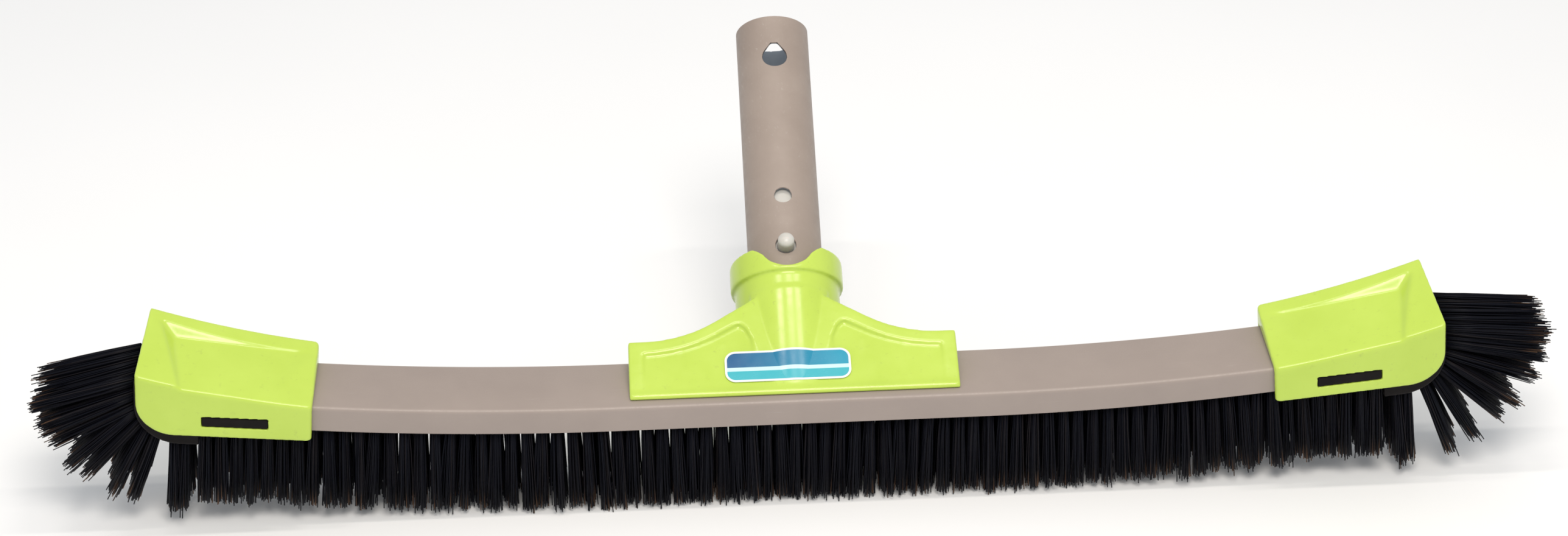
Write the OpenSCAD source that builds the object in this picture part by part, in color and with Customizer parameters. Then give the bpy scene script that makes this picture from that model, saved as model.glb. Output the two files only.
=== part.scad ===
// Curved pool wall brush: bent channel back, moulded end caps and yoke, bristle
// rows with fanned ends, and a spring-clip handle tube. Millimetres.
// Design frame: X along the brush, Y from the front face of the back to the
// rear, Z up, with Z = 0 on top of the back at mid-length. placed() moves the
// finished parts so that the bristle tips rest on Z = 0.

/* [Back] */
// Half of the straight middle stretch of the back
flat_half = 66; // [62:1:70]
// Bend radius of the back's top face on each side of the straight stretch
bend_r = 1030; // [900:10:1300]
// Angle that each end of the back rises by
bend_deg = 6; // [5:0.5:7]
// Depth of the channel, front face to rear face
channel_d = 28.5; // [28:0.1:29]
// Height of the channel's flanges
channel_h = 10.5; // [10:0.1:11]
// Wall of the channel
channel_t = 1.3; // [1.2:0.1:1.5]
// Straight length of channel past each bend, inside the cap
channel_tail = 14; // [10:0.5:14.5]

/* [End caps] */
// Where the cap starts, along the back past the bend
cap_start = 2; // [1:0.5:3]
// Where the cap ends
cap_end = 65.4; // [64:0.2:66]
// Side wall of the cap
cap_wall = 2.8; // [2.4:0.1:3]
// Lower edge of the cap below the top of the back
cap_drop = 13.3; // [13:0.1:14]
// Radius of the cap's rounded lower corner
cap_corner_r = 14; // [12:0.5:14]
// Height of the cap's top over the back at its inner end
cap_rise = 2.55; // [2.5:0.05:2.8]
// Sideways lift of the cap's top, rising to the rear
cap_lift = 7.1; // [6.8:0.1:7.4]
// Skew of the cap's top, which makes it steeper towards the outer end
cap_skew = 16.9; // [16:0.1:18]
// Length of the latch window in each side wall
window_l = 24; // [20:1:26]
// Height of the latch window
window_h = 4.6; // [4:0.1:5]

/* [Bristles] */
// Bristle tips below the top of the back
tip_depth = 48; // [46:0.5:50]
// Distance between rows
row_pitch = 5.3; // [5:0.1:5.4]
// Thickness of one row
row_t = 3.8; // [3.4:0.1:4]
// Reach of the fanned end bristles from the centre of the cap's rounded corner
fan_reach = 54; // [50:1:56]

/* [Yoke] */
// Half width of the yoke's plate
yoke_half = 61; // [58:0.5:62]
// Slope of the yoke's plate
face_slope = 24; // [23:0.5:25]
// Thickness of the yoke's plate
plate_t = 2.8; // [2.4:0.1:3.2]
// Radius of the socket's barrel
barrel_r = 19.9; // [19.5:0.1:20.2]
// Radius of the collar's lip
lip_r = 21.5; // [21:0.1:22]

/* [Handle tube] */
// Angle of the handle above the back's top plane
handle_tilt = 30; // [29:0.5:31]
// Outer radius of the tube that a telescopic pole slides over
tube_r = 14.25; // [14:0.05:14.4]
// Wall of the tube
tube_wall = 1.5; // [1.2:0.1:1.6]
// Free end of the tube, from the handle's datum
tube_end = 124.4; // [110:0.2:130]

/* [Spring clip] */
// Radius of a snap button
button_r = 3.15; // [3:0.05:3.4]
// How far a button stands out of the tube
button_proud = 5.3; // [4.5:0.1:5.6]
// Place of the buttons along the tube
button_at = 23.4; // [22:0.2:25]
// Place of the clip's bend along the tube
clip_bend_at = 72; // [66:1:78]

/* [Hidden] */
$fn = 96;

gap = 0.3;                      // assembly clearance between fixed pieces
far = 200;                      // longer than any cut needs

lime = [0.76, 0.89, 0.36];
taupe = [0.66, 0.58, 0.53];
dark_brown = [0.2, 0.15, 0.13];
near_black = [0.05, 0.05, 0.07];
off_white = [0.88, 0.87, 0.83];

// The back
bend_x = flat_half + bend_r * sin(bend_deg);
bend_z = bend_r * (1 - cos(bend_deg));
bend_steps = 12;
strip_h = 8;
strip_bottom = -channel_t - strip_h;
strip_half_w = channel_d / 2 - channel_t - 0.1;

// The end blocks and caps, along the straight end of the back (u) and across it (w)
block_start = channel_tail + gap;
round_u = cap_end - cap_corner_r;
round_w = cap_corner_r - cap_drop;
cap_slope = 0.102;              // the cap's top rises along it by this slope
cap_bow = 0.0015;               // and curves up by this times the distance squared
cap_edge_r = 1.6;               // the cap's upright corners
cap_skew_end = 3.2;             // its end face turns inward to the rear by this angle
cap_cavity = 5.2;               // depth of the cap's cavity under its top
dish_planes = [                 // each is [rise along the cap, rise to the rear, height]
    [0.125, 0.136, 2], [0.159, 1.1, -22.1], [1, -0.04, -41.2], [0, 0.103, 4.1]
];
block_top = 7.4;                // the block fills the cap's open outer end up to here
ramp_start = 46;                // and rises to it from the top of the back
ramp_end = 54.5;
rim_r = 16;                     // the block's rounded rim, which the fan stands on
rim_u = 50;
rim_w = -3.2;
rim_steps = 12;
rim_gap = 0.05;
fan_top_drop = 0.2;             // the fan's root stops this far below the block's top
field_end = 42.8;               // the straight rows end here, and the fan starts after it
fan_start = 44;
window_u = 17.7;
window_w = -4.1;
cap_gap = 0.4;                  // between the cap's walls and the channel
cap_front = -cap_wall - cap_gap;
cap_rear = channel_d - cap_front;
lug_inset = 0.3;                // below the cap's side face
lug_gap = 0.15;
lug_bevel = 0.5;
row_count = 5;

// The handle's datum: a point on the tube's axis behind the back
datum_y = 50;
datum_z = 3.7;
barrel_bottom = -20;
seat_bottom = -18;
seat_top = -8;
seat_r = 14.05;                 // slightly turned-down end of the tube, up to spigot_top
spigot_top = 30;
pole_bore_r = 17.8;
lip_bottom = 9.6;
lip_top = 20.4;
notch_r = 10;
notch_centre = 21.4;
notch_flare = [[-14, -1], [-8.9, 3.5], [8.9, 3.5], [14, -1]];
mid_hole_at = 44.6;
mid_hole_r = 3.3;
end_hole_at = 106.3;
end_hole_r = 4.7;
hole_notch = [[-3.6, -3], [3.6, -3], [1.3, -6.1], [-1.3, -6.1]];    // above the end hole
tube_screw_at = -13;
tube_screw_sink = 1.8;          // depth of the recess for each of their heads
tube_screw_tip = 12;            // from the tube's axis
head_recess_r = 3.4;

// The yoke's plate
face_y = 3.6;
face_z = 0.9;
wing_top = 25;
wing_arc_r = 50;
wing_arc_x = 55;
wing_arc_deg = 32;
wing_arc_steps = 12;
panel_border = 5.6;
panel_slope = 3;
panel_foot = [7, 4];            // the panel's corner at the column's foot
panel_neck = [[19.6, 31.2], [17, 29]];      // its rounded corner at the neck
foot_t = 2.2;
web_half = 15;                  // the web behind the column
web_profile = [[5.1, 0], [28.3, 0], [29.2, -9.5], [33, -9.5], [60, 5], [60, 30]];
rib_xs = [-59.4, -42, -26, 26, 42, 59.4];
rib_t = 2.4;
column_r = 20.3;
column_top = 43.8;
neck_half = 13;
neck_top = 42.3;
screw_xs = [-50, -34, 34, 50];
screw_y = 18;
screw_r = 1.5;
screw_head_h = 1.6;
screw_grip = 3.4;               // how far the yoke's screws go in
boss_r = 3.4;
boss_h = 4.4;

// The badge
badge_w = 46.6;
badge_h = 13;
badge_v = 12.2;
badge_x = -2.2;                 // off centre, to the left
badge_t = 0.25;
badge_r = 4;

// The clip
arm_w = 9;
arm_out = 11.65;                // outer face of an arm, from the tube's axis
arm_t = 1.6;
arm_mid = arm_out - arm_t / 2;
arm_low = button_at - 5;
flex_at = clip_bend_at - gap - arm_t / 2;   // where each arm flexes
dome_h = 2.2;

// Moves the design frame to the part's frame: centred over the bristles' base
front_y = cap_front;
rear_y = datum_y + tube_end * cos(handle_tilt) + tube_r * sin(handle_tilt);
module placed() translate([0, -(front_y + rear_y) / 2, tip_depth]) children();

// ---------- frames ----------

// The straight end of the back: X becomes the distance past the bend
module end_frame(side) {
    mirror([side < 0 ? 1 : 0, 0, 0])
        translate([bend_x, 0, bend_z]) rotate([0, -bend_deg, 0]) children();
}

// The handle: Z runs up the tube, Y points to its front face
module handle_frame() {
    translate([0, datum_y, datum_z]) rotate([handle_tilt - 90, 0, 0]) rotate([0, 0, 180]) children();
}

// The yoke's sloping face: Y runs up the slope, Z points out of it
module face_frame() {
    translate([0, face_y, face_z]) rotate([face_slope, 0, 0]) children();
}

// A profile drawn in (Y, Z) and swept along X between two stations
module sweep_x(x0, x1) {
    translate([x0, 0, 0]) rotate([90, 0, 90]) linear_extrude(x1 - x0) children();
}

// A profile drawn in (u, w) and given a width from y0 to y1
module across(y0, y1) {
    translate([0, y1, 0]) rotate([90, 0, 0]) linear_extrude(y1 - y0) children();
}

// Points of the line that runs w above the top of the back, left to right, with
// a straight tail past each bend
function half_line(w, tail) = concat(
    [for (i = [0:bend_steps])
        let (a = bend_deg * i / bend_steps)
            [flat_half + (bend_r - w) * sin(a), bend_r - (bend_r - w) * cos(a)]],
    [[bend_x - w * sin(bend_deg) + tail * cos(bend_deg),
        bend_z - (1 - cos(bend_deg)) * w + w + tail * sin(bend_deg)]]
);

function reversed(list) = [for (i = [len(list) - 1:-1:0]) list[i]];

function mirrored(list) = [for (p = list) [-p[0], p[1]]];

function back_line(w, tail) = concat(reversed(mirrored(half_line(w, tail))), half_line(w, tail));

// A bar that follows the back between two heights and two depths
module band(w0, w1, y0, y1, tail) {
    across(y0, y1) polygon(concat(back_line(w0, tail), reversed(back_line(w1, tail))));
}

// ---------- back and bristle carriers ----------

module back_channel() {
    color(taupe) placed() difference() {
        band(-channel_h, 0, 0, channel_d, channel_tail);
        band(-channel_h - 1, -channel_t, channel_t, channel_d - channel_t, channel_tail + 1);
        for (x = screw_xs)
            translate([x, screw_y, -channel_t - 1]) cylinder(r = screw_r + 0.3, h = channel_t + 2);
    }
}

module bristle_strip() {
    mid = channel_d / 2;
    color(dark_brown) placed() difference() {
        band(strip_bottom, -channel_t, mid - strip_half_w, mid + strip_half_w, channel_tail);
        for (x = screw_xs)
            translate([x, screw_y, -channel_t - screw_head_h]) cylinder(r = head_recess_r, h = 3);
    }
}

// Points of the block's rim from its outer side round to its underside
function rim_arc(r) = [for (i = [rim_steps:-1:0])
    let (a = 90 * i / rim_steps) [rim_u + r * sin(a), rim_w - r * cos(a)]];

module end_block(side) {
    color(dark_brown) placed() end_frame(side) {
        across(0, channel_d) polygon(concat(
            [[block_start, strip_bottom], [block_start, 0], [ramp_start, 0],
                [ramp_end, block_top], [rim_u + rim_r, block_top]],
            rim_arc(rim_r),
            [[field_end + gap, rim_w - rim_r], [field_end + gap, strip_bottom]]
        ));
        lug(0, -1);
        lug(channel_d, 1);
    }
}

// A bevelled latch lug that fills the cap's window
module lug(face, way) {
    reach = cap_wall + cap_gap - lug_inset;
    w0 = window_w - window_h + lug_gap;
    w1 = window_w - lug_gap;
    translate([0, face, 0]) mirror([0, way < 0 ? 1 : 0, 0])
        sweep_x(window_u + lug_gap, window_u + window_l - lug_gap)
            polygon([[-0.5, w0], [reach, w0], [reach, w1 - lug_bevel],
                [reach - lug_bevel, w1], [-0.5, w1]]);
}

// ---------- end caps ----------

// Height of the cap's top along the cap, before it is lifted and skewed
function cap_curve(u) = cap_rise + cap_slope * u + cap_bow * u * u;

// Everything under the cap's top face, lowered by drop. The face curves up along
// the cap, and is drawn out at a skew so that its outer end is the steeper one
module under_cap_top(drop) {
    edge = [for (s = [-12:2:84]) [s, cos(cap_lift) * (cap_curve(s / cos(cap_skew)) - drop)]];
    rotate([cap_lift, 0, cap_skew]) across(-80, 80)
        polygon(concat(edge, [[84, -80], [-12, -80]]));
}

module cap_side_outline() {
    difference() {
        translate([cap_start, -cap_drop]) square([cap_end - cap_start, 40]);
        difference() {
            translate([round_u, -cap_drop - 1]) square([cap_corner_r + 1, cap_corner_r + 1]);
            translate([round_u, round_w]) circle(r = cap_corner_r);
        }
    }
}

module rounded_rect(x0, x1, y0, y1, r) {
    translate([x0 + r, y0]) square([x1 - x0 - 2 * r, y1 - y0]);
    translate([x0, y0 + r]) square([x1 - x0, y1 - y0 - 2 * r]);
    for (x = [x0 + r, x1 - r], y = [y0 + r, y1 - r]) translate([x, y]) circle(r = r);
}

// In plan, everything more than inset inside the cap's skewed end face
module inside_end_face(inset) {
    translate([cap_end - inset, cap_front]) rotate(cap_skew_end)
        translate([-far, -far / 2]) square([far, far]);
}

// Everything above the plane of height c at the origin that rises by a along the
// cap and by b to the rear
module above_plane(a, b, c) {
    translate([0, 0, c]) rotate([atan(b * cos(atan(a))), -atan(a), 0])
        translate([-far, -far, 0]) cube([2 * far, 2 * far, far]);
}

// The thumb dish in the cap's top: a floor, three sloping walls and an open front
module cap_dish() {
    intersection_for(p = dish_planes) above_plane(p[0], p[1], p[2]);
}

module cap(side) {
    in_y0 = -cap_gap;
    in_y1 = channel_d + cap_gap;
    color(lime) placed() end_frame(side) difference() {
        intersection() {
            across(cap_front, cap_rear) cap_side_outline();
            under_cap_top(0);
            translate([0, 0, -far / 2]) linear_extrude(far) intersection() {
                rounded_rect(cap_start, cap_end, cap_front, cap_rear, cap_edge_r);
                inside_end_face(0);
            }
        }
        cap_dish();
        intersection() {
            translate([cap_start + cap_wall, in_y0, -far / 2]) cube([far, in_y1 - in_y0, far]);
            translate([0, 0, -far / 2]) linear_extrude(far) inside_end_face(cap_wall);
            under_cap_top(cap_cavity);
        }
        translate([cap_start - 1, in_y0, -far])
            cube([round_u - cap_start, in_y1 - in_y0, far + gap]);
        translate([round_u, in_y0, -far]) cube([far, in_y1 - in_y0, far + block_top + cap_gap]);
        translate([window_u, cap_front - 1, window_w - window_h])
            cube([window_l, cap_rear - cap_front + 2, window_h]);
    }
}

// ---------- bristles ----------

function row_y(k) = channel_d / 2 + (k - (row_count + 1) / 2) * row_pitch;

module bristle_row(k) {
    y = row_y(k);
    color(near_black) placed()
        band(-tip_depth, strip_bottom, y - row_t / 2, y + row_t / 2, field_end);
}

// The fan's outline: its root follows the block's rim, its tips lie on an arc round
// the cap's corner, and its topmost tufts slope down outwards
module fan_outline() {
    tips = [for (a = [88:-8:-8]) [round_u + fan_reach * sin(a), round_w - fan_reach * cos(a)]];
    polygon(concat(
        [[fan_start, rim_w - rim_r - rim_gap]], reversed(rim_arc(rim_r + rim_gap)),
        [[rim_u + rim_r + rim_gap, block_top - fan_top_drop]], tips
    ));
}

module bristle_fan(side) {
    color(near_black) placed() end_frame(side)
        for (k = [1:row_count])
            across(row_y(k) - row_t / 2, row_y(k) + row_t / 2) fan_outline();
}

// ---------- yoke ----------

// The hollow arc of a wing's top edge, moved inward by a border
function wing_arc(border) = [for (i = [0:wing_arc_steps])
    let (a = wing_arc_deg * i / wing_arc_steps)
        [wing_arc_x - (wing_arc_r + border) * sin(a),
            wing_top + wing_arc_r - (wing_arc_r + border) * cos(a)]];

// Each half of the outline is a square shoulder, the arc and a straight run to the neck
function wing_half() = concat(
    [[yoke_half, 0], [yoke_half, wing_top]], wing_arc(0), [[neck_half, neck_top]]
);

module wing_outline() {
    polygon(concat(wing_half(), reversed(mirrored(wing_half()))));
}

// The panel sunk into each wing, a fixed border inside its outline
module panel_outline(side) {
    mirror([side < 0 ? 1 : 0, 0]) polygon(concat(
        [panel_foot, [yoke_half - panel_border, 1],
            [yoke_half - panel_border, wing_top - panel_border]],
        wing_arc(panel_border), panel_neck
    ));
}

// Each panel slopes away from the face: level at the bottom, deepest at the top
module panel_cuts() {
    for (side = [-1, 1]) intersection() {
        translate([0, 0, -5]) linear_extrude(10) panel_outline(side);
        rotate([-panel_slope, 0, 0]) translate([-far / 2, 0, 0]) cube([far, far, 20]);
    }
}

// A rib standing on the back under the sloping plate
module rib(x) {
    top_y = face_y + (wing_top - 1) * cos(face_slope);
    top_z = face_z + (wing_top - 1) * sin(face_slope) - 1;
    sweep_x(x - rib_t / 2, x + rib_t / 2)
        polygon([[face_y + 1, 0], [top_y, 0], [top_y, top_z], [face_y + 1, 0.4]]);
}

// A round dip in the collar's rim at the front and rear, with flared shoulders,
// that lets the pole's buttons be pressed
module collar_notches() {
    for (way = [-1, 1])
        mirror([0, way < 0 ? 1 : 0, 0]) {
            translate([0, 0, notch_centre]) rotate([-90, 0, 0]) cylinder(r = notch_r, h = far / 2);
            translate([0, 0, lip_top]) rotate([-90, 0, 0]) linear_extrude(far / 2)
                polygon(notch_flare);
        }
}

// The column down the middle of the face, where the barrel swells through it
module column() {
    intersection() {
        handle_frame() translate([0, 0, -45]) cylinder(r = column_r, h = 65);
        face_frame() translate([-barrel_r, 1, -plate_t + 0.5])
            cube([2 * barrel_r, column_top, 20]);
    }
}

module yoke_solid() {
    face_frame() difference() {
        translate([0, 0, -plate_t]) linear_extrude(plate_t) wing_outline();
        panel_cuts();
    }
    translate([-yoke_half + 0.4, face_y + 1, 0]) cube([2 * yoke_half - 0.8, 22.2, foot_t]);
    for (x = rib_xs) rib(x);
    for (x = screw_xs) translate([x, screw_y, 0]) cylinder(r = boss_r, h = boss_h);
    column();
    intersection() {
        sweep_x(-web_half, web_half) polygon(web_profile);
        face_frame() translate([-far / 2, 0, -far]) cube([far, neck_top - 0.5, far - 0.4]);
    }
    handle_frame() {
        translate([0, 0, barrel_bottom]) cylinder(r = barrel_r, h = lip_top - barrel_bottom);
        translate([0, 0, lip_bottom]) cylinder(r = lip_r, h = lip_top - lip_bottom);
    }
}

module yoke() {
    color(lime) placed() difference() {
        yoke_solid();
        handle_frame() {
            translate([0, 0, seat_bottom]) cylinder(r = seat_r + 0.02, h = far);
            translate([0, 0, seat_top]) cylinder(r = pole_bore_r, h = far);
            collar_notches();
            tube_screw_cuts();
        }
        translate([-far / 2, -far, -far]) cube([far, far + channel_d + 0.2, far]);
        for (x = screw_xs)
            translate([x, screw_y, -1]) cylinder(r = screw_r + 0.05, h = screw_grip + 1.2);
    }
}

// Holes for the two screws that hold the tube in the socket
module tube_screw_cuts() {
    for (side = [-1, 1])
        translate([0, 0, tube_screw_at]) rotate([0, side * 90, 0]) {
            cylinder(r = screw_r + 0.05, h = barrel_r + 1);
            translate([0, 0, barrel_r - tube_screw_sink]) cylinder(r = head_recess_r, h = 5);
        }
}

// A plain rounded badge that follows the face and the column
module badge() {
    color("steelblue") placed() difference() {
        intersection() {
            face_frame() translate([0, 0, -0.5]) linear_extrude(5)
                rounded_rect(badge_x - badge_w / 2, badge_x + badge_w / 2,
                    badge_v - badge_h / 2, badge_v + badge_h / 2, badge_r);
            union() {
                face_frame() translate([-far / 2, -far / 2, -2]) cube([far, far, 2 + badge_t]);
                handle_frame() translate([0, 0, -50]) cylinder(r = column_r + badge_t, h = 70);
            }
        }
        face_frame() translate([-far / 2, -far / 2, -far]) cube([far, far, far]);
        handle_frame() translate([0, 0, -52]) cylinder(r = column_r, h = 74);
    }
}

// ---------- handle ----------

module handle_tube() {
    color(taupe) placed() handle_frame() difference() {
        union() {
            translate([0, 0, seat_bottom]) cylinder(r = seat_r, h = spigot_top - seat_bottom);
            translate([0, 0, spigot_top]) cylinder(r = tube_r, h = tube_end - spigot_top);
        }
        translate([0, 0, -far]) cylinder(r = tube_r - tube_wall, h = 2 * far);
        cross_hole(button_at, button_r + 0.7);
        cross_hole(mid_hole_at, mid_hole_r);
        cross_hole(end_hole_at, end_hole_r);
        translate([0, -far / 2, end_hole_at]) rotate([-90, 0, 0]) linear_extrude(far)
            polygon(hole_notch);
        for (side = [-1, 1])
            translate([0, 0, tube_screw_at]) rotate([0, side * 90, 0])
                cylinder(r = screw_r + 0.05, h = far);
    }
}

// A hole through the front and rear walls of the tube
module cross_hole(at, r) {
    translate([0, -far / 2, at]) rotate([-90, 0, 0]) cylinder(r = r, h = far);
}

// The bend of the spring clip: a half ring across the tube
module clip_bow() {
    color(off_white) placed() handle_frame() translate([0, 0, clip_bend_at])
        rotate([0, -90, 0]) translate([0, 0, -arm_w / 2])
            rotate([0, 0, -90]) rotate_extrude(angle = 180)
                translate([arm_out - arm_t, 0]) square([arm_t, arm_w]);
}

// A round button with a domed end
module snap_button(h) {
    dome = [for (a = [0:15:75]) [button_r * cos(a), h - dome_h + dome_h * sin(a)]];
    rotate_extrude() polygon(concat([[0, 0], [button_r, 0]], dome, [[0, h]]));
}

// One arm of the clip with its domed snap button, at the front (way = 1) or rear
module button_arm(way) {
    color(off_white) placed() handle_frame() mirror([0, way < 0 ? 1 : 0, 0]) {
        translate([-arm_w / 2, arm_out - arm_t, arm_low]) cube([arm_w, arm_t, flex_at - arm_low]);
        translate([-arm_w / 2, arm_mid, flex_at]) rotate([0, 90, 0])
            cylinder(r = arm_t / 2, h = arm_w);
        translate([0, arm_mid, button_at]) rotate([-90, 0, 0])
            snap_button(tube_r + button_proud - arm_mid);
    }
}

// ---------- fasteners ----------

// A pan-head screw with its head below Z = 0
module screw(length) {
    cylinder(r = screw_r, h = length);
    translate([0, 0, -screw_head_h]) cylinder(r1 = 2.3, r2 = 2.9, h = screw_head_h);
}

module yoke_screws() {
    color("silver") placed()
        for (x = screw_xs) translate([x, screw_y, -channel_t]) screw(channel_t + screw_grip);
}

module tube_screws() {
    color("silver") placed() handle_frame()
        for (side = [-1, 1])
            translate([0, 0, tube_screw_at]) rotate([0, -side * 90, 0])
                translate([0, 0, tube_screw_sink - barrel_r])
                    screw(barrel_r - tube_screw_sink - tube_screw_tip);
}

back_channel();
bristle_strip();
end_block(-1);  // end_block_left
end_block(1);  // end_block_right
cap(-1);  // cap_left
cap(1);  // cap_right
yoke();
badge();
handle_tube();
clip_bow();
button_arm(1);  // front_button_arm
button_arm(-1);  // rear_button_arm
yoke_screws();
tube_screws();
bristle_row(1);  // bristle_row_1
bristle_row(2);  // bristle_row_2
bristle_row(3);  // bristle_row_3
bristle_row(4);  // bristle_row_4
bristle_row(5);  // bristle_row_5
bristle_fan(-1);  // bristle_fan_left
bristle_fan(1);  // bristle_fan_right
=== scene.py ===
import math

import bmesh
import bpy
import numpy as np
from mathutils import Matrix, Vector


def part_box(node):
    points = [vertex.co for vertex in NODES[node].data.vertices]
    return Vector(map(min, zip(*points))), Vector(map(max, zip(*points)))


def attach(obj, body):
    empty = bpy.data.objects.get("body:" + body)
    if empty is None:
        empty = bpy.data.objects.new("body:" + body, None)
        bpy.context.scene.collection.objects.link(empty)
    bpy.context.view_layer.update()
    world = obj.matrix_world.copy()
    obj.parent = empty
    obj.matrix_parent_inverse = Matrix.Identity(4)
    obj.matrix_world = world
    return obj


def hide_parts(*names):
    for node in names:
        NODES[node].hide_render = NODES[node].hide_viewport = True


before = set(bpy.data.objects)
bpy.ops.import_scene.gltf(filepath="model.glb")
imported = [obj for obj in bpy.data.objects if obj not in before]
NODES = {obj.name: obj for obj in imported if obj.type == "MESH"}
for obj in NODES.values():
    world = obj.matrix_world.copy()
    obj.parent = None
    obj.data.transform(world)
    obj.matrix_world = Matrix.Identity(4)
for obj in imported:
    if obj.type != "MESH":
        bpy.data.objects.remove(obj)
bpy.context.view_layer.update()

MM = 0.001

# The back's bend, in millimetres and degrees, as the CAD frame has it
FLAT_HALF = 66.0
BEND_R = 1030.0
BEND_DEG = 6.0
CHANNEL_D = 28.5
CHANNEL_H = 10.5
CHANNEL_T = 1.3
CHANNEL_TAIL = 14.0
STRIP_BOTTOM = -9.3
BEND_X = FLAT_HALF + BEND_R * math.sin(math.radians(BEND_DEG))
BEND_Z = BEND_R * (1 - math.cos(math.radians(BEND_DEG)))

# The design's own origin: the middle of the back's front top edge
ORIGIN = Vector((0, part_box("back_channel")[0].y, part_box("back_channel")[0].z + CHANNEL_H * MM))

# The handle's axis, in the design's millimetres
HANDLE_DEG = 30.0
DATUM = Vector((0, 50.0, 3.7))


def row_point(x, y, z):
    """A point given in the design's millimetres, in the frame's metres."""
    return ORIGIN + Vector((x, y, z)) * MM


# ---------- meshes ----------

def link(piece):
    bpy.context.scene.collection.objects.link(piece)
    return piece


def smooth_mesh(mesh, angle=None):
    """Shades a mesh smooth, apart from edges sharper than the angle."""
    mesh.polygons.foreach_set("use_smooth", [True] * len(mesh.polygons))
    if angle is not None:
        mesh.set_sharp_from_angle(angle=math.radians(angle))
    mesh.update()


def evaluated_mesh(piece, name):
    """The piece's mesh with its modifiers applied. The piece itself is removed."""
    evaluated = piece.evaluated_get(bpy.context.evaluated_depsgraph_get())
    mesh = bpy.data.meshes.new_from_object(evaluated)
    bpy.data.objects.remove(piece)
    mesh.name = name
    return mesh


def coordinates(mesh):
    flat = np.empty(len(mesh.vertices) * 3)
    mesh.vertices.foreach_get("co", flat)
    return flat.reshape(-1, 3)


def softened(node, name, voxel, passes, keep, crisp=None):
    """A copy of a CAD node whose edges are rounded the way a mould leaves them.

    Crisp takes the vertices' places and says which of them keep their edges.
    """
    rough = link(bpy.data.objects.new(name + "_rough", NODES[node].data.copy()))
    welded = bmesh.new()
    welded.from_mesh(rough.data)
    bmesh.ops.remove_doubles(welded, verts=welded.verts, dist=1e-6)
    welded.to_mesh(rough.data)
    welded.free()
    remesh = rough.modifiers.new("remesh", "REMESH")
    remesh.mode = "VOXEL"
    remesh.voxel_size = voxel * MM
    piece = link(bpy.data.objects.new(name + "_fine", evaluated_mesh(rough, name + "_fine")))
    rounding = piece.modifiers.new("rounding", "SMOOTH")
    rounding.factor = 0.5
    rounding.iterations = passes
    if crisp is not None:
        free = np.flatnonzero(~crisp(coordinates(piece.data)))
        piece.vertex_groups.new(name="free").add(free.tolist(), 1.0, "REPLACE")
        rounding.vertex_group = "free"
    lighter = piece.modifiers.new("lighter", "DECIMATE")
    lighter.ratio = keep
    mesh = evaluated_mesh(piece, name)
    mesh.materials.clear()
    smooth_mesh(mesh)
    result = link(bpy.data.objects.new(name, mesh))
    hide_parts(node)
    return result


def dress(piece, material, body="root"):
    """Gives a piece its material, and the CAD body that it rides on."""
    piece.data.materials.clear()
    piece.data.materials.append(material)
    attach(piece, body)
    return piece


# The latch window in each cap, as distances along the end of the back and up from its top
WINDOW_U = (16.7, 42.7)
WINDOW_W = (-9.7, -3.1)


def by_window(side):
    """Tells which places are round a cap's latch window, whose edges are crisp."""
    angle = math.radians(BEND_DEG)

    def crisp(places):
        local = (places - np.array(ORIGIN)) / MM
        x = local[:, 0] * side - BEND_X
        z = local[:, 2] - BEND_Z
        u = x * math.cos(angle) + z * math.sin(angle)
        w = z * math.cos(angle) - x * math.sin(angle)
        return (u > WINDOW_U[0]) & (u < WINDOW_U[1]) & (w > WINDOW_W[0]) & (w < WINDOW_W[1])

    return crisp


TUBE_R = 14.25
TUBE_WALL = 1.5
COLLAR_FLOOR = 9.0


def even_tube(piece):
    """Takes out the 0.2 mm step above the socket, so that what shows is one cylinder."""
    tilt = math.radians(HANDLE_DEG)
    axis = np.array((0, math.cos(tilt), math.sin(tilt)))
    start = np.array(row_point(*DATUM))
    local = (coordinates(piece.data) - start) / MM
    at = local @ axis
    out = local - np.outer(at, axis)
    radius = np.linalg.norm(out, axis=1)
    moved = (at > COLLAR_FLOOR) & (radius > TUBE_R - TUBE_WALL / 2)
    stretch = np.where(moved, np.maximum(1, (TUBE_R - 0.02) / radius), 1)
    local = np.outer(at, axis) + out * stretch[:, None]
    piece.data.vertices.foreach_set("co", (local * MM + start).ravel())
    piece.data.update()
    return piece


# ---------- node helpers ----------

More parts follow.
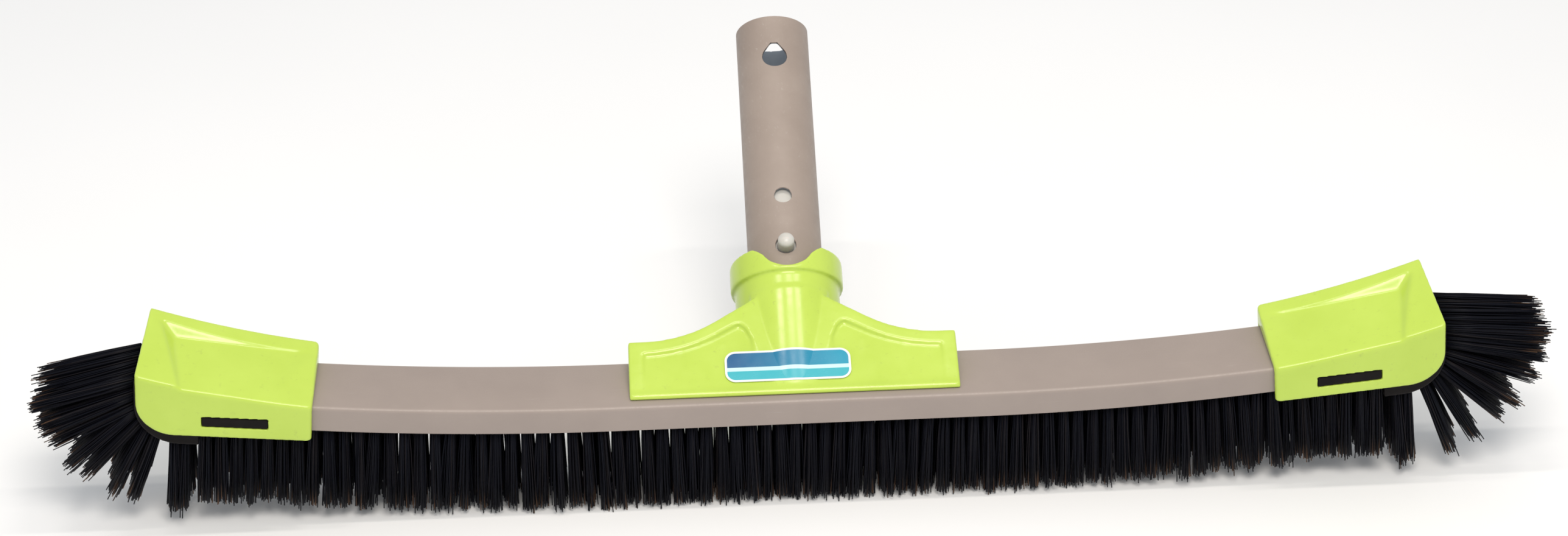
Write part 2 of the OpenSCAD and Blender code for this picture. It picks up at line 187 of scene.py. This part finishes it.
class Shader:
    """A node material with one Principled shader, and short ways to add to it."""

    def __init__(self, name, **values):
        self.material = bpy.data.materials.new(name)
        self.material.use_nodes = True
        self.tree = self.material.node_tree
        self.bsdf = self.tree.nodes["Principled BSDF"]
        for key, value in values.items():
            self.bsdf.inputs[key.replace("_", " ").title().replace("Ior", "IOR")].default_value = value
        self.place = self.add("ShaderNodeTexCoord").outputs["Object"]

    def add(self, kind, **settings):
        node = self.tree.nodes.new(kind)
        for key, value in settings.items():
            setattr(node, key, value)
        return node

    def join(self, source, target):
        self.tree.links.new(source, target)

    def stretched(self, scale, turn=(0, 0, 0)):
        """Object coordinates in metres, turned and scaled."""
        node = self.add("ShaderNodeMapping")
        node.inputs["Scale"].default_value = scale
        node.inputs["Rotation"].default_value = [math.radians(a) for a in turn]
        self.join(self.place, node.inputs["Vector"])
        return node.outputs["Vector"]

    def noise(self, per_metre, detail=3.0, rough=0.5, vector=None):
        node = self.add("ShaderNodeTexNoise")
        node.inputs["Scale"].default_value = per_metre
        node.inputs["Detail"].default_value = detail
        node.inputs["Roughness"].default_value = rough
        self.join(vector or self.place, node.inputs["Vector"])
        return node.outputs["Fac"]

    def ramp(self, value, stops):
        """Stops are (place, grey or colour)."""
        node = self.add("ShaderNodeValToRGB")
        elements = node.color_ramp.elements
        while len(elements) < len(stops):
            elements.new(0.5)
        for element, (place, shade) in zip(elements, stops):
            element.position = place
            element.color = (shade, shade, shade, 1) if isinstance(shade, float) else (*shade, 1)
        self.join(value, node.inputs["Fac"])
        return node.outputs["Color"]

    def math(self, operation, a, b=None):
        node = self.add("ShaderNodeMath", operation=operation)
        for socket, value in zip(node.inputs, (a, b)):
            if value is None:
                continue
            if isinstance(value, (int, float)):
                socket.default_value = value
            else:
                self.join(value, socket)
        return node.outputs[0]

    def mix(self, factor, a, b):
        """Colour a where factor is 0, and colour b where it is 1."""
        node = self.add("ShaderNodeMix", data_type="RGBA")
        self.join(factor, node.inputs["Factor"])
        for socket, value in ((node.inputs[6], a), (node.inputs[7], b)):
            if isinstance(value, tuple):
                socket.default_value = (*value, 1)
            else:
                self.join(value, socket)
        return node.outputs[2]

    def colour(self, value):
        self.join(value, self.bsdf.inputs["Base Color"])

    def rough(self, value):
        self.join(value, self.bsdf.inputs["Roughness"])

    def bump(self, height, depth_mm):
        node = self.add("ShaderNodeBump")
        node.inputs["Strength"].default_value = 1.0
        node.inputs["Distance"].default_value = depth_mm * MM
        self.join(height, node.inputs["Height"])
        self.join(node.outputs["Normal"], self.bsdf.inputs["Normal"])


# ---------- materials ----------

def lime_plastic():
    """Glossy moulded lime plastic, with faint flow marks and a little grime."""
    s = Shader("lime_plastic", specular_ior_level=0.5)
    flow = s.noise(45, 4, 0.55)
    base = s.ramp(flow, [(0.3, (0.475, 0.640, 0.086)), (0.7, (0.513, 0.683, 0.103))])
    specks = s.noise(420, 5, 0.7)
    grime = s.math("MULTIPLY", s.ramp(specks, [(0.60, 0.0), (0.72, 0.5)]), s.noise(60, 2))
    s.colour(s.mix(grime, base, (0.30, 0.36, 0.09)))
    s.rough(s.ramp(s.noise(180, 4), [(0.3, 0.17), (0.7, 0.25)]))
    s.bump(s.noise(900, 3), 0.012)
    return s.material


def back_paint():
    """Satin taupe coating on aluminium, with a fine grain and light rubs."""
    s = Shader("back_paint", metallic=0.0, specular_ior_level=0.55)
    cloud = s.noise(25, 4, 0.6)
    base = s.ramp(cloud, [(0.3, (0.300, 0.250, 0.226)), (0.7, (0.335, 0.280, 0.252))])
    rub = s.ramp(s.noise(9, 6, 0.75, s.stretched((3, 60, 60))), [(0.62, 0.0), (0.74, 0.35)])
    s.colour(s.mix(rub, base, (0.43, 0.39, 0.37)))
    s.rough(s.ramp(s.noise(1600, 2), [(0.3, 0.38), (0.7, 0.52)]))
    s.bump(s.noise(2600, 2), 0.015)
    return s.material


def inside_tube(s):
    """1 on the tube's bore and 0 on its outside."""
    tilt = math.radians(HANDLE_DEG)
    away = s.add("ShaderNodeVectorMath", operation="SUBTRACT")
    away.inputs[1].default_value = row_point(*DATUM)
    s.join(s.place, away.inputs[0])
    along = s.add("ShaderNodeVectorMath", operation="DOT_PRODUCT")
    along.inputs[1].default_value = (0, math.cos(tilt), math.sin(tilt))
    s.join(away.outputs[0], along.inputs[0])
    length = s.add("ShaderNodeVectorMath", operation="LENGTH")
    s.join(away.outputs[0], length.inputs[0])
    squares = [s.math("POWER", node.outputs["Value"], 2.0) for node in (length, along)]
    limit = (TUBE_R - TUBE_WALL / 2) * MM
    return s.math("LESS_THAN", s.math("SUBTRACT", *squares), limit ** 2)


def tube_plastic():
    """Matt taupe coating, with scuffs from the pole sliding over it, and a bare blue-grey bore."""
    s = Shader("tube_plastic", specular_ior_level=0.4)
    cloud = s.noise(40, 5, 0.6)
    base = s.ramp(cloud, [(0.3, (0.300, 0.245, 0.213)), (0.72, (0.350, 0.290, 0.254))])
    along = s.stretched((1, 0.06, 1), (HANDLE_DEG, 0, 0))
    scuffs = s.ramp(s.noise(900, 4, 0.7, along), [(0.60, 0.0), (0.75, 0.55)])
    worn = s.math("MULTIPLY", scuffs, s.ramp(s.noise(55, 3), [(0.42, 0.0), (0.62, 1.0)]))
    painted = s.mix(worn, base, (0.52, 0.48, 0.45))
    s.colour(s.mix(inside_tube(s), painted, (0.20, 0.24, 0.29)))
    s.rough(s.ramp(s.noise(300, 4), [(0.3, 0.42), (0.7, 0.58)]))
    s.bump(s.noise(1200, 4), 0.02)
    return s.material


def bristle_filament():
    """Near-black nylon with a faint blue cast. A few filaments' tips carry painted glints, tan, for
    warm light shining through them.
    """
    s = Shader("bristle_filament", specular_ior_level=0.12)
    tone = s.add("ShaderNodeAttribute", attribute_name="tone").outputs["Fac"]
    along = s.add("ShaderNodeAttribute", attribute_name="along").outputs["Fac"]
    black = s.ramp(tone, [(0.0, (0.002, 0.002, 0.005)), (0.7, (0.004, 0.005, 0.010)),
                          (1.0, (0.012, 0.010, 0.012))])
    # painted glints: a few filaments turn tan towards their tips, for warm light shining through them
    tip_glint = s.math("MULTIPLY", s.ramp(tone, [(0.84, 0.0), (0.90, 0.7)]),
                   s.ramp(along, [(0.80, 0.0), (1.0, 1.0)]))
    s.colour(s.mix(tip_glint, black, (0.16, 0.085, 0.045)))
    s.rough(s.ramp(s.noise(500, 3), [(0.3, 0.38), (0.7, 0.52)]))
    return s.material


def dark_plastic():
    """Near-black moulded plastic of the end blocks and the bristle strip."""
    s = Shader("dark_plastic", specular_ior_level=0.10)
    s.colour(s.ramp(s.noise(120, 4), [(0.3, (0.004, 0.003, 0.003)), (0.7, (0.009, 0.007, 0.007))]))
    s.rough(s.ramp(s.noise(400, 3), [(0.3, 0.28), (0.7, 0.42)]))
    s.bump(s.noise(1500, 3), 0.01)
    return s.material


def clip_plastic():
    """Smooth off-white acetal, slightly yellowed in places."""
    s = Shader("clip_plastic", specular_ior_level=0.5, subsurface_weight=0.05)
    s.colour(s.ramp(s.noise(150, 4), [(0.3, (0.53, 0.51, 0.48)), (0.7, (0.60, 0.58, 0.55))]))
    s.rough(s.ramp(s.noise(500, 3), [(0.3, 0.28), (0.7, 0.40)]))
    s.bump(s.noise(2000, 3), 0.006)
    return s.material


def screw_steel():
    """Zinc-plated steel with a turned grain."""
    s = Shader("screw_steel", metallic=1.0)
    grain = s.noise(3000, 4, 0.6, s.stretched((0.1, 1, 1)))
    s.colour(s.ramp(grain, [(0.3, (0.42, 0.42, 0.43)), (0.7, (0.62, 0.62, 0.62))]))
    s.rough(s.ramp(grain, [(0.3, 0.25), (0.7, 0.4)]))
    return s.material


def floor_paper():
    """Pale seamless studio paper."""
    s = Shader("floor_paper", roughness=0.9)
    s.colour(s.ramp(s.noise(4, 3), [(0.3, (0.90, 0.915, 0.935)), (0.7, (0.92, 0.935, 0.955))]))
    return s.material


# ---------- the badge's pattern ----------

BADGE_SLOPE = 24.0
BADGE_HALF = Vector((23.3, 6.5))
BADGE_CORNER = 4.0
BADGE_FOOT = (3.6, 0.9)
BADGE_V = 12.2
BADGE_X = -2.2
BADGE_RIM = 0.8
BADGE_BAND_AT = -1.2
BADGE_BAND_HALF = 0.8


def badge_film():
    """A plain badge: a white rim round a blue field, with a pale band and teal below it."""
    s = Shader("badge_film", specular_ior_level=0.5, coat_weight=0.3)
    foot = row_point(BADGE_X, *BADGE_FOOT)
    slope = math.radians(BADGE_SLOPE)
    middle = foot + Vector((0, math.cos(slope), math.sin(slope))) * BADGE_V * MM
    centred = s.add("ShaderNodeVectorMath", operation="SUBTRACT")
    centred.inputs[1].default_value = middle
    s.join(s.place, centred.inputs[0])
    flat = s.add("ShaderNodeMapping")
    flat.inputs["Rotation"].default_value = (-slope, 0, 0)
    flat.inputs["Scale"].default_value = (1000, 1000, 1000)
    s.join(centred.outputs[0], flat.inputs["Vector"])
    axes = s.add("ShaderNodeSeparateXYZ")
    s.join(flat.outputs["Vector"], axes.inputs["Vector"])
    along, up = axes.outputs["X"], axes.outputs["Y"]
    rim = rounded_rect_distance(s, along, up)
    upper = s.ramp(s.math("ADD", s.math("MULTIPLY", along, 0.02), 0.5),
                   [(0.1, (0.005, 0.10, 0.26)), (0.9, (0.01, 0.30, 0.46))])
    from_band = s.math("ABSOLUTE", s.math("SUBTRACT", up, BADGE_BAND_AT))
    band = s.math("LESS_THAN", from_band, BADGE_BAND_HALF)
    lower = s.math("LESS_THAN", up, BADGE_BAND_AT)
    field = s.mix(lower, upper, (0.03, 0.42, 0.50))
    field = s.mix(band, field, (0.55, 0.80, 0.82))
    s.colour(s.mix(s.math("GREATER_THAN", rim, -BADGE_RIM), field, (0.82, 0.84, 0.84)))
    s.rough(s.ramp(s.noise(300, 3), [(0.3, 0.2), (0.7, 0.3)]))
    return s.material


def rounded_rect_distance(s, along, up):
    """Distance inside the badge's outline, in millimetres: 0 at its edge and below 0 within."""
    inner = BADGE_HALF - Vector((BADGE_CORNER, BADGE_CORNER))
    out_x = s.math("MAXIMUM", s.math("SUBTRACT", s.math("ABSOLUTE", along), inner.x), 0.0)
    out_y = s.math("MAXIMUM", s.math("SUBTRACT", s.math("ABSOLUTE", up), inner.y), 0.0)
    reach = s.math("SQRT", s.math("ADD", s.math("MULTIPLY", out_x, out_x),
                                  s.math("MULTIPLY", out_y, out_y)))
    return s.math("SUBTRACT", reach, BADGE_CORNER)


# ---------- the back ----------

def back_station(distance):
    """Where the top of the back is, that far along it from the middle, and its angle."""
    side = -1 if distance < 0 else 1
    run = abs(distance)
    arc = BEND_R * math.radians(BEND_DEG)
    if run <= FLAT_HALF:
        return Vector((distance, 0)), 0.0
    angle = min(run - FLAT_HALF, arc) / BEND_R
    x = FLAT_HALF + BEND_R * math.sin(angle)
    z = BEND_R * (1 - math.cos(angle))
    past = max(0.0, run - FLAT_HALF - arc)
    x += past * math.cos(angle)
    z += past * math.sin(angle)
    return Vector((side * x, z)), side * angle


FOLD_FRONT = (1.5, 0.4)
FOLD_REAR = (0.8, 0.3)
EDGE_BEVEL = 0.3


def half_section(fold, inner):
    """One wall of the channel, from its lower edge up round the fold: outside, then inside."""
    outside = [(EDGE_BEVEL, -CHANNEL_H), (0, -CHANNEL_H + EDGE_BEVEL)]
    outside += [(fold * (1 - math.cos(a)), -fold * (1 - math.sin(a)))
                for a in np.linspace(0, math.pi / 2, 7)]
    inside = [(CHANNEL_T - EDGE_BEVEL, -CHANNEL_H), (CHANNEL_T, -CHANNEL_H + EDGE_BEVEL)]
    inside += [(CHANNEL_T + inner * (1 - math.cos(a)), -CHANNEL_T - inner * (1 - math.sin(a)))
               for a in np.linspace(0, math.pi / 2, 4)]
    return outside, inside


def channel_profile():
    """The channel's section as (depth, height), folded softly in front and tightly behind."""
    front_outside, front_inside = half_section(*FOLD_FRONT)
    rear_outside, rear_inside = half_section(*FOLD_REAR)
    outer = front_outside + [(CHANNEL_D - y, w) for y, w in reversed(rear_outside)]
    hollow = front_inside + [(CHANNEL_D - y, w) for y, w in reversed(rear_inside)]
    return outer + list(reversed(hollow))


def bent_channel():
    """The back, swept along its bends with the folds that bending sheet leaves."""
    profile = channel_profile()
    arc = BEND_R * math.radians(BEND_DEG)
    end = FLAT_HALF + arc + CHANNEL_TAIL
    bends = np.linspace(FLAT_HALF, FLAT_HALF + arc, 25)
    stations = [*-bends[::-1], *bends]
    stations = [-end, *stations, end]
    verts = []
    for distance in stations:
        top, angle = back_station(distance)
        for y, w in profile:
            verts.append(row_point(top.x - w * math.sin(angle), y, top.y + w * math.cos(angle)))
    n = len(profile)
    faces = [(i * n + j, i * n + (j + 1) % n, (i + 1) * n + (j + 1) % n, (i + 1) * n + j)
             for i in range(len(stations) - 1) for j in range(n)]
    half = n // 2
    for start in (0, (len(stations) - 1) * n):
        for j in range(half - 1):
            quad = (start + j, start + j + 1, start + n - 2 - j, start + n - 1 - j)
            faces.append(quad)
    mesh = bpy.data.meshes.new("bent_channel")
    mesh.from_pydata(verts, [], faces)
    shell = bmesh.new()
    shell.from_mesh(mesh)
    bmesh.ops.recalc_face_normals(shell, faces=shell.faces)
    shell.to_mesh(mesh)
    shell.free()
    smooth_mesh(mesh, 40)
    piece = link(bpy.data.objects.new("bent_channel", mesh))
    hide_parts("back_channel")
    return piece


# ---------- bristles ----------

TUFT_PITCH = 5.5
FIELD_COLUMNS = 39
TIP_DEPTH = 48.0
# Each pair of tufts in a fan: where it is rooted along the end of the back and
# across it, the angle that its tips lie at, from straight down, and half of the
# distance between the two tufts' tips
FAN_PAIRS = ((50.3, -17.0, 0.0, 1.9), (59.4, -13.6, 24.0, 4.2), (64.0, -8.6, 46.5, 3.4),
             (65.0, -2.2, 67.5, 3.6), (65.2, 4.0, 80.0, 3.4))
FAN_CENTRE = (51.2, 0.7)
FAN_REACH = {-1: 51.0, 1: 52.0}
# How far each fan leans up, in degrees, at its topmost pair of tufts
FAN_LEAN = {-1: -3.8, 1: 3.8}
PAIR_ROOT = 1.9
FAN_SCATTER = 0.5
# Filaments in a tuft of a fan, and its radius at root and tips
FAN_TUFT = (48, 1.6, 2.4)
FAN_RAGGED = 1.5
# Filaments in a tuft of the straight field, and its radius at root and tips
FIELD_TUFT = (44, 1.75, 2.7)
FIELD_RAGGED = 0.95
FIELD_LEAN = 0.018
TIP_INSET = 2.2
TRIM_SCATTER = 0.6
FILAMENT_R = 0.26
FILAMENT_TAPER = 0.25
FILAMENT_STRAY = 0.35
FILAMENT_BEND = 0.45
RINGS = 4
SIDES = 4


class Filaments:
    """Collects filaments, each a bent tapering rod, and makes one mesh of them."""

    def __init__(self, seed):
        self.rng = np.random.default_rng(seed)
        self.roots, self.ways, self.bends, self.tones = [], [], [], []

    def tuft(self, root, way, side, count, root_r, tip_r, length, ragged):
        """Adds a tuft. Way is the direction it points in, and side is square to it."""
        other = np.cross(way, side)
        spread = np.sqrt(self.rng.random(count))
        turn = self.rng.random(count) * 2 * math.pi
        disc = np.outer(spread * np.cos(turn), side) + np.outer(spread * np.sin(turn), other)
        lengths = length + self.rng.normal(0, ragged, count)
        stray = self.rng.normal(0, FILAMENT_STRAY, (count, 3))
        tips = root + disc * tip_r + np.outer(lengths, way) + stray
        roots = root + disc * root_r
        self.roots.append(roots)
        self.ways.append(tips - roots)
        self.bends.append(self.rng.normal(0, FILAMENT_BEND, (count, 3)))
        self.tones.append(self.rng.random(count))

    def mesh(self, name):
        roots = np.concatenate(self.roots)
        ways = np.concatenate(self.ways)
        bends = np.concatenate(self.bends)
        tones = np.concatenate(self.tones)
        count = len(roots)
        unit = ways / np.linalg.norm(ways, axis=1, keepdims=True)
        first = np.cross(unit, (0, 1, 0))
        first /= np.linalg.norm(first, axis=1, keepdims=True)
        second = np.cross(unit, first)
        verts = np.zeros((count, RINGS, SIDES, 3))
        for ring in range(RINGS):
            t = ring / (RINGS - 1)
            centre = roots + ways * t + bends * t * (1 - t) * 2
            radius = FILAMENT_R * (1 - FILAMENT_TAPER * t)
            for side in range(SIDES):
                a = 2 * math.pi * side / SIDES
                verts[:, ring, side] = centre + radius * (math.cos(a) * first + math.sin(a) * second)
        verts = verts.reshape(-1, 3) * MM + np.array(ORIGIN)
        pattern = []
        for ring in range(RINGS - 1):
            for side in range(SIDES):
                a, b = ring * SIDES + side, ring * SIDES + (side + 1) % SIDES
                pattern.append((a, b, b + SIDES, a + SIDES))
        last = (RINGS - 1) * SIDES
        pattern.append(tuple(last + i for i in range(SIDES)))
        pattern.append(tuple(reversed(range(SIDES))))
        base = np.arange(count)[:, None, None] * RINGS * SIDES
        faces = (np.array(pattern)[None] + base).reshape(-1, 4)
        mesh = bpy.data.meshes.new(name)
        mesh.from_pydata(verts.tolist(), [], faces.tolist())
        along = np.tile(np.repeat(np.linspace(0, 1, RINGS), SIDES), count)
        for layer, values in (("tone", np.repeat(tones, RINGS * SIDES)), ("along", along)):
            mesh.attributes.new(layer, "FLOAT", "POINT")
            mesh.attributes[layer].data.foreach_set("value", values.astype(np.float32))
        smooth_mesh(mesh)
        return mesh


def row_depth(k):
    """How far back row k runs, from the back's front face, in millimetres."""
    low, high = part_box(f"bristle_row_{k}")
    return ((low.y + high.y) / 2 - ORIGIN.y) / MM


def field_row(k):
    """One straight row of tufts, along the whole underside of the back."""
    hairs = Filaments(100 + k)
    y = row_depth(k)
    for column in range(-FIELD_COLUMNS, FIELD_COLUMNS + 1):
        top, angle = back_station(column * TUFT_PITCH)
        down = np.array((math.sin(angle), 0, -math.cos(angle)))
        root = np.array((top.x, y, top.y)) + down * -STRIP_BOTTOM
        along = np.array((math.cos(angle), 0, math.sin(angle)))
        lean = hairs.rng.normal(0, FIELD_LEAN, 2)
        way = down + along * lean[0] + np.array((0, lean[1], 0))
        way /= np.linalg.norm(way)
        length = TIP_DEPTH + STRIP_BOTTOM - TIP_INSET + hairs.rng.normal(0, TRIM_SCATTER)
        hairs.tuft(root, way, along, *FIELD_TUFT, length, FIELD_RAGGED)
    piece = link(bpy.data.objects.new(f"tufts_row_{k}", hairs.mesh(f"tufts_row_{k}")))
    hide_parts(f"bristle_row_{k}")
    return piece


def end_point(side, u, w):
    """A point on the straight end of the back, as design x and z."""
    angle = math.radians(BEND_DEG)
    x = BEND_X + u * math.cos(angle) - w * math.sin(angle)
    z = BEND_Z + u * math.sin(angle) + w * math.cos(angle)
    return side * x, z


def fan(side, name, node):
    """The tufts that fan out round one end, in the same five rows."""
    hairs = Filaments(200 + side)
    for k in range(1, 6):
        y = row_depth(k)
        for root_u, root_w, degrees, parting in FAN_PAIRS:
            angle = math.radians(degrees + FAN_LEAN[side] * degrees / FAN_PAIRS[-1][2])
            tip_u = FAN_CENTRE[0] + FAN_REACH[side] * math.sin(angle)
            tip_w = FAN_CENTRE[1] - FAN_REACH[side] * math.cos(angle)
            run = np.array((tip_u - root_u, tip_w - root_w))
            square = np.array((-run[1], run[0])) / np.linalg.norm(run)
            for half in (-1, 1):
                root = np.array((root_u, root_w)) + square * half * PAIR_ROOT
                tip = np.array((tip_u, tip_w)) + square * half * parting
                tip = tip + hairs.rng.normal(0, FAN_SCATTER, 2)
                start = end_point(side, *root)
                end = end_point(side, *tip)
                start = np.array((start[0], y, start[1]))
                end = np.array((end[0], y + hairs.rng.normal(0, FAN_SCATTER), end[1]))
                length = np.linalg.norm(end - start)
                way = (end - start) / length
                across = np.cross(way, (0, 1, 0))
                hairs.tuft(start, way, across, *FAN_TUFT, length, FAN_RAGGED)
    piece = link(bpy.data.objects.new(name, hairs.mesh(name)))
    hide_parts(node)
    return piece


# ---------- stage ----------

# Where the camera stands, in the frame's metres, and how it is turned
CAMERA_PLACE = Vector((-0.04812, -0.95133, 0.68177))
CAMERA_ELEVATION = 33.42
CAMERA_YAW = -2.90
CAMERA_ROLL = -0.60
CAMERA_LENS = 67.5


def camera():
    data = bpy.data.cameras.new("camera")
    data.lens = CAMERA_LENS
    data.sensor_width = 36.0
    data.clip_start = 0.01
    up_tilt, yaw, roll = (math.radians(a) for a in (CAMERA_ELEVATION, CAMERA_YAW, CAMERA_ROLL))
    back = Vector((math.sin(yaw) * math.cos(up_tilt), -math.cos(yaw) * math.cos(up_tilt),
                   math.sin(up_tilt)))
    right = Vector((0, 0, 1)).cross(back).normalized()
    up = back.cross(right)
    turned = Matrix((math.cos(roll) * right + math.sin(roll) * up,
                     math.cos(roll) * up - math.sin(roll) * right, back)).transposed()
    eye = link(bpy.data.objects.new("camera", data))
    eye.matrix_world = Matrix.Translation(CAMERA_PLACE) @ turned.to_4x4()
    bpy.context.scene.camera = eye


def area_light(name, place, aim, size, watts, colour):
    data = bpy.data.lights.new(name, "AREA")
    data.shape = "RECTANGLE"
    data.size, data.size_y = size
    data.energy = watts
    data.color = colour
    lamp = link(bpy.data.objects.new(name, data))
    lamp.location = place
    lamp.rotation_euler = (Vector(aim) - Vector(place)).to_track_quat("-Z", "Y").to_euler()


WARM = (1.0, 0.93, 0.84)
FLOOR_HALF = 4.0


def studio():
    """A pale floor, white surroundings, a big soft lamp in front and narrow ones overhead."""
    mesh = bpy.data.meshes.new("floor")
    half = FLOOR_HALF
    mesh.from_pydata([(-half, -half, 0), (half, -half, 0), (half, half, 0), (-half, half, 0)], [],
                     [(0, 1, 2, 3)])
    mesh.materials.append(floor_paper())
    floor = link(bpy.data.objects.new("floor", mesh))
    world = bpy.data.worlds.new("world")
    world.use_nodes = True
    background = world.node_tree.nodes["Background"]
    background.inputs["Color"].default_value = (0.98, 0.99, 1, 1)
    background.inputs["Strength"].default_value = 0.62
    bpy.context.scene.world = world
    bpy.context.scene.view_settings.view_transform = "Standard"
    centre = (0, 0, 0.05)
    area_light("softbox", (0.05, -0.65, 1.15), centre, (0.55, 0.42), 9, WARM)
    for side, x in (("left", -0.38), ("middle", 0.054), ("right", 0.40)):
        area_light(f"overhead_{side}", (x, -0.10, 1.3), (x, -0.05, 0), (0.22, 0.04), 1.2, WARM)


# ---------- assembly ----------

def dress_moulded_pieces():
    lime = lime_plastic()
    dark = dark_plastic()
    white = clip_plastic()
    for side in ("left", "right"):
        cap = softened(f"cap_{side}", f"moulded_cap_{side}", 0.35, 60, 0.5,
                       by_window(-1 if side == "left" else 1))
        dress(cap, lime)
        dress(softened(f"end_block_{side}", f"moulded_block_{side}", 0.35, 2, 0.4), dark)
    dress(softened("yoke", "moulded_yoke", 0.42, 32, 0.5), lime)
    tube = even_tube(softened("handle_tube", "moulded_tube", 0.4, 2, 0.4))
    dress(tube, tube_plastic())
    dress(softened("clip_bow", "moulded_clip_bow", 0.25, 2, 0.5), white)
    for way in ("front", "rear"):
        dress(softened(f"{way}_button_arm", f"moulded_{way}_button", 0.22, 3, 0.5), white,
              f"{way}_button")


def dress_cad_nodes():
    looks = {
        "bristle_strip": dark_plastic(),
        "badge": badge_film(),
        "yoke_screws": screw_steel(),
        "tube_screws": screw_steel(),
    }
    for node, material in looks.items():
        mesh = NODES[node].data
        mesh.materials.clear()
        mesh.materials.append(material)


def dress_bristles():
    black = bristle_filament()
    for k in range(1, 6):
        dress(field_row(k), black)
    dress(fan(-1, "tufts_fan_left", "bristle_fan_left"), black)
    dress(fan(1, "tufts_fan_right", "bristle_fan_right"), black)


camera()
studio()
dress(bent_channel(), back_paint())
dress_moulded_pieces()
dress_cad_nodes()
dress_bristles()
